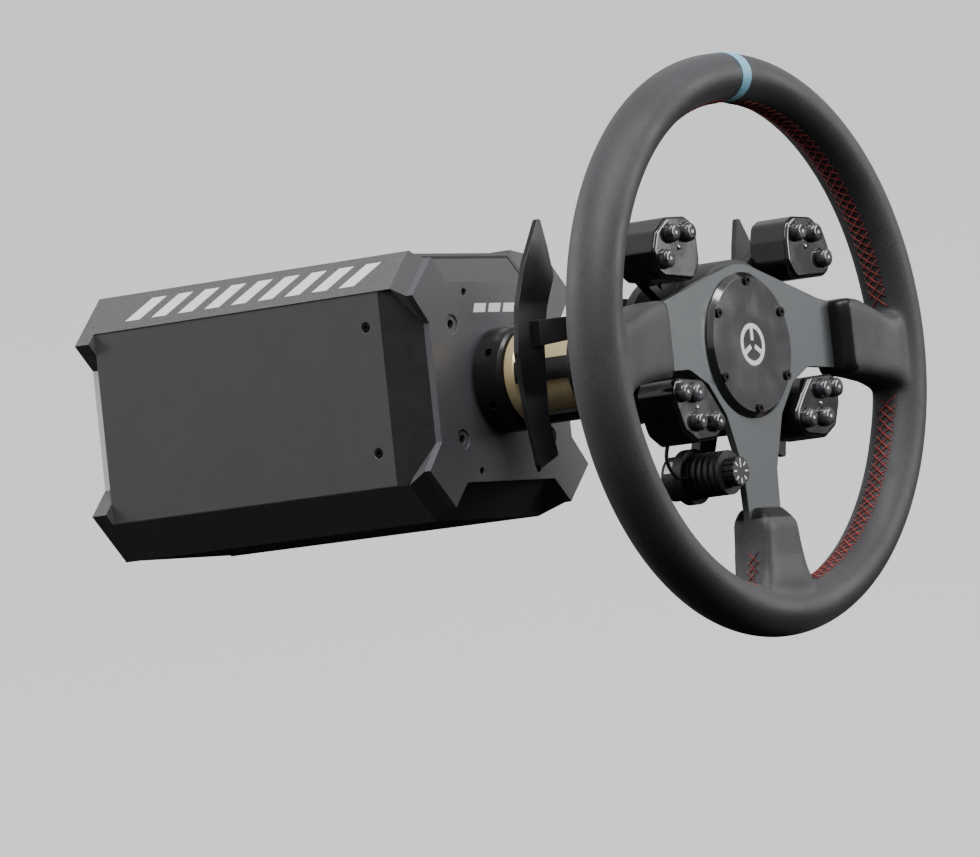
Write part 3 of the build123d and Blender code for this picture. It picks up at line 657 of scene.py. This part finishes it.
def seam_threads():
    """A net of crossed threads over the grip's inner seam, between the stripe and the spokes."""
    gaps = ((8, 86.5), (93, 170), (194, 258), (282, 345))
    pitch = 5.6 * MM
    reach = 1.9
    half_width = 5.8 * MM
    steps = 5
    seam_radius = grip_middle - grip_radial
    threads = []
    for start, end in gaps:
        count = int(math.radians(end - start) * seam_radius / pitch)
        for number in range(count):
            first = math.radians(start) + number * pitch / seam_radius
            for side, arch in ((-1, 0.22), (1, 0.50)):
                points = []
                for step in range(steps + 1):
                    t = step / steps
                    lift = (0.10 + arch * math.sin(math.pi * t)) * MM
                    axial = side * half_width * (1 - 2 * t)
                    points.append(rim_point(first + t * reach * pitch / seam_radius, axial, lift))
                threads.append(tube(points, 0.44 * MM, 5))
    return threads


def flank_threads():
    """A few crosses up both flanks of the lower spoke wrap."""
    lowest = 130
    cross_pitch = 5
    cross_height = 7
    cross_half = 3.5
    middle = 168
    threads = []
    for side in (-1, 1):
        for number in range(3):
            low = lowest - cross_pitch * number
            for slant in (-1, 1):
                path = []
                for part in (0, 0.5, 1):
                    along = low - cross_height * part
                    depth = middle + cross_half * slant * (1 - 2 * part)
                    flank = 16.5 + 4.6 * ((along - 100) / 24) ** 2
                    path.append(on_wheel(side * (flank + 0.55), -along, depth))
                threads.append(tube(path, 0.40 * MM, 5))
    return threads


def make_stitches():
    verts, faces = gathered([*seam_threads(), *flank_threads()])
    mesh_piece("rim_stitches", verts, faces, thread_look, "wheel")


make_leather()
make_stitches()


# ================================================================ printed marks
glowing_print_look = Look("glowing_white_print", (0.80, 0.80, 0.80), 0.45)
glowing_print_look.paint(glowing_print_look.mix(glowing_print_look.span(glowing_print_look.noise(1.2), 0.3, 0.7),
                                (0.80, 0.80, 0.80), (0.92, 0.92, 0.92)))
# The print also glows faintly. This is painted light: the marks are no lamp, and the glow makes them brighter than
# their lighting.
glowing_print_look.set("Emission Color", (1, 1, 1, 1))
glowing_print_look.set("Emission Strength", 0.12)
glowing_print_look.bump(glowing_print_look.noise(0.4), 0.01)


def slab(corners, lift):
    """A thin plate over a flat outline of points, raised by a vector."""
    lower = [point - lift * 0.2 for point in corners]
    upper = [point + lift for point in corners]
    return lofted([lower, upper])


def make_rail_bars():
    """Slanted bars along the upper left corner rail."""
    bars = 9
    pitch = 19.0 * MM
    half_width = 5.2 * MM
    half_height = 8.4 * MM
    half_slant = 6.0 * MM
    middle = Vector((-59.3 * MM, 0, shaft_z + 65.1 * MM))
    up_slope = Vector((1, 0, 1)).normalized()
    normal = Vector((-1, 0, 1)).normalized()
    along = Vector((0, 1, 0))
    start = base_front_y + 46 * MM
    parts = []
    for number in range(bars):
        centre = middle + along * (start + number * pitch)
        corners = []
        for level, side in ((-1, -1), (-1, 1), (1, 1), (1, -1)):
            shift = side * half_width - level * half_slant
            corners.append(centre + along * shift + up_slope * (level * half_height))
        parts.append(slab(corners, normal * 0.12 * MM))
    verts, faces = gathered(parts)
    piece = mesh_piece("rail_bars", verts, faces, glowing_print_look, "base", smooth=False)
    outward_faces(piece)


def make_notch_joint():
    """The dark joint that follows the floor of the top notch, back edge and both sides."""
    # The floor runs from the front plate's top edge back and up.
    floor = Vector((0, 15.3, 17.9)) * MM
    start = Vector((0, forward(-4), shaft_z + 56 * MM))
    normal = Vector((0, -floor.z, floor.y)).normalized()

    def on_floor(x_mm, part):
        return start + floor * part + Vector((x_mm * MM, 0, 0))

    strips = [[on_floor(-42, 0.81), on_floor(42, 0.81), on_floor(43, 0.90), on_floor(-43, 0.90)]]
    for side in (-1, 1):
        strips.append([on_floor(side * 43, 0.90), on_floor(side * 39.3, 0.02),
                       on_floor(side * 37.1, 0.02), on_floor(side * 40.8, 0.82)])
    verts, faces = gathered([slab(strip, normal * 0.05 * MM) for strip in strips])
    dark_look = looks["cheek_plastic"]
    piece = mesh_piece("notch_joint", verts, faces, dark_look, "base", smooth=False)
    outward_faces(piece)


def make_front_bars():
    """Three short slanted bars over the shaft on the front plate."""
    bars = 3
    pitch = 14
    width = 11
    slant = 2
    low = 38.5
    high = 43.5
    parts = []
    for number in range(bars):
        x = -20 + number * pitch
        corners = [on_wheel(x, low, 0), on_wheel(x + width, low, 0),
                   on_wheel(x + width + slant, high, 0), on_wheel(x + slant, high, 0)]
        parts.append(slab(corners, Vector((0, -0.1 * MM, 0))))
    verts, faces = gathered(parts)
    piece = mesh_piece("front_bars", verts, faces, glowing_print_look, "base", smooth=False)
    outward_faces(piece)


def flat_ring(inner, outer, front, count=48):
    """A flat ring facing the driver, as a closed thin solid (mm, about the shaft)."""
    sections = []
    for step in range(count):
        turn = 2 * math.pi * step / count
        c, s = math.cos(turn), math.sin(turn)
        sections.append([on_wheel(radius * c, radius * s, depth) for radius, depth in
                         ((inner, front - 0.1), (outer, front - 0.1), (outer, front + 0.12),
                          (inner, front + 0.12))])
    return lofted(sections, closed=True)


def make_badge_mark():
    """A plain ring with three spokes in the middle of the badge."""
    front = 169.5
    spoke_start = 2.2
    spoke_end = 9.3
    half_spoke = 1.3
    parts = [flat_ring(9.0, 11.6, front)]
    for angle in (90, 210, 330):
        turn = math.radians(angle)
        out = Vector((math.cos(turn), math.sin(turn)))
        side = Vector((-out.y, out.x)) * half_spoke
        corners = [out * spoke_start - side, out * spoke_start + side,
                   out * spoke_end + side, out * spoke_end - side]
        parts.append(slab([on_wheel(c.x, c.y, front) for c in corners], Vector((0, -0.12 * MM, 0))))
    verts, faces = gathered(parts)
    piece = mesh_piece("badge_mark", verts, faces, glowing_print_look, "wheel", smooth=False)
    outward_faces(piece)


# ================================================================ small details of the controls
silver_look = brushed("silver_trim", (0.80, 0.80, 0.82), (1, 1, 1), 0.24)
cable_look = moulded("cable_black", (0.012, 0.012, 0.012), 0.42)
module_low, module_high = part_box("rotary_module")
module_x = (module_low.x + module_high.x) / 2
module_z = (module_low.z + module_high.z) / 2


def disc(centre, radius, lift, count=20):
    """A thin round plate facing the driver."""
    corners = [centre + Vector((math.cos(t), 0, math.sin(t))) * radius
               for t in (2 * math.pi * step / count for step in range(count))]
    return slab(corners, Vector((0, -lift, 0)))


def make_legends():
    """A small white dot on the face of every button."""
    dot_radius = 0.9 * MM
    buttons = [name for name in frame["nodes"] if name.startswith("button_")]
    for name in sorted(buttons):
        low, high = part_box(name)
        centre = Vector(((low.x + high.x) / 2, low.y, (low.z + high.z) / 2))
        verts, faces = disc(centre, dot_radius, 0.06 * MM)
        piece = mesh_piece(f"legend_{name}", verts, faces, glowing_print_look, name, smooth=False)
        outward_faces(piece)


def make_lamps():
    """A small silver lamp beside the buttons of each pod."""
    parts = []
    for side in (-1, 1):
        for x, z in ((62.0, 53.5), (60.5, -33.5)):
            parts.append(disc(on_wheel(side * x, z, 170.0), 1.5 * MM, 0.5 * MM))
    verts, faces = gathered(parts)
    piece = mesh_piece("pod_lamps", verts, faces, silver_look, "wheel")
    outward_faces(piece)


def make_module_patch():
    """A silver patch on the side of the rotary module."""
    radius = (module_high.x - module_low.x) / 2
    inner, outer = [], []
    for step in range(9):
        turn = math.radians(118 + 6 * step)
        for edge, reach in ((inner, radius - 0.2 * MM), (outer, radius + 0.12 * MM)):
            edge.append((module_x + reach * math.cos(turn), module_z + reach * math.sin(turn)))
    outline = outer + inner[::-1]
    ends = [[Vector((x, forward(depth), z)) for x, z in outline] for depth in (133.0, 139.5)]
    verts, faces = lofted(ends)
    patch = mesh_piece("module_patch", verts, faces, silver_look, "wheel", smooth=False)
    outward_faces(patch)


def make_knob_marks():
    """Seven ticks and a longer pointer on the front of the knob."""
    marks = 8
    half_width = 0.45 * MM
    middle = Vector((module_x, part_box("rotary_knob")[0].y, module_z))
    parts = []
    for number in range(marks):
        turn = math.radians(90 + 360 / marks * number)
        along = Vector((math.cos(turn), 0, math.sin(turn)))
        over = Vector((-along.z, 0, along.x)) * half_width
        start, end = (4.0, 6.6) if number else (1.9, 6.9)
        near = middle + along * (start * MM)
        far = middle + along * (end * MM)
        parts.append(slab([near - over, far - over, far + over, near + over], Vector((0, -0.08 * MM, 0))))
    verts, faces = gathered(parts)
    piece = mesh_piece("knob_marks", verts, faces, glowing_print_look, "rotary_knob", smooth=False)
    outward_faces(piece)


def smooth_path(points, steps=8):
    """A Catmull-Rom curve through the points."""
    padded = [points[0] * 2 - points[1], *points, points[-1] * 2 - points[-2]]
    path = []
    for index in range(1, len(padded) - 2):
        a, b, c, d = padded[index - 1:index + 3]
        for step in range(steps):
            t = step / steps
            path.append(0.5 * ((2 * b) + (c - a) * t + (2 * a - 5 * b + 4 * c - d) * t * t
                               + (3 * b - a - 3 * c + d) * t ** 3))
    path.append(points[-1])
    return path


def make_leads():
    """Thin fixed leads: one from the rotary module to its pod, two from the upper pods into the hub."""
    routes = {
        "lead_module": [(-45, -70, 150), (-55, -69, 148), (-61, -60, 147), (-60, -51, 148),
                        (-57, -46, 150)],
        "lead_upper_left": [(-52, 40, 148), (-46, 31, 144), (-38, 22, 141), (-33, 16, 139)],
        "lead_upper_right": [(52, 40, 148), (46, 31, 144), (38, 22, 141), (33, 16, 139)],
    }
    for name, route in routes.items():
        path = smooth_path([on_wheel(x, z, depth) for x, z, depth in route])
        verts, faces = tube(path, 1.1 * MM, 10)
        piece = mesh_piece(name, verts, faces, cable_look, "wheel")
        outward_faces(piece)


make_rail_bars()
make_notch_joint()
make_front_bars()
make_badge_mark()
make_legends()
make_lamps()
make_module_patch()
make_knob_marks()
make_leads()
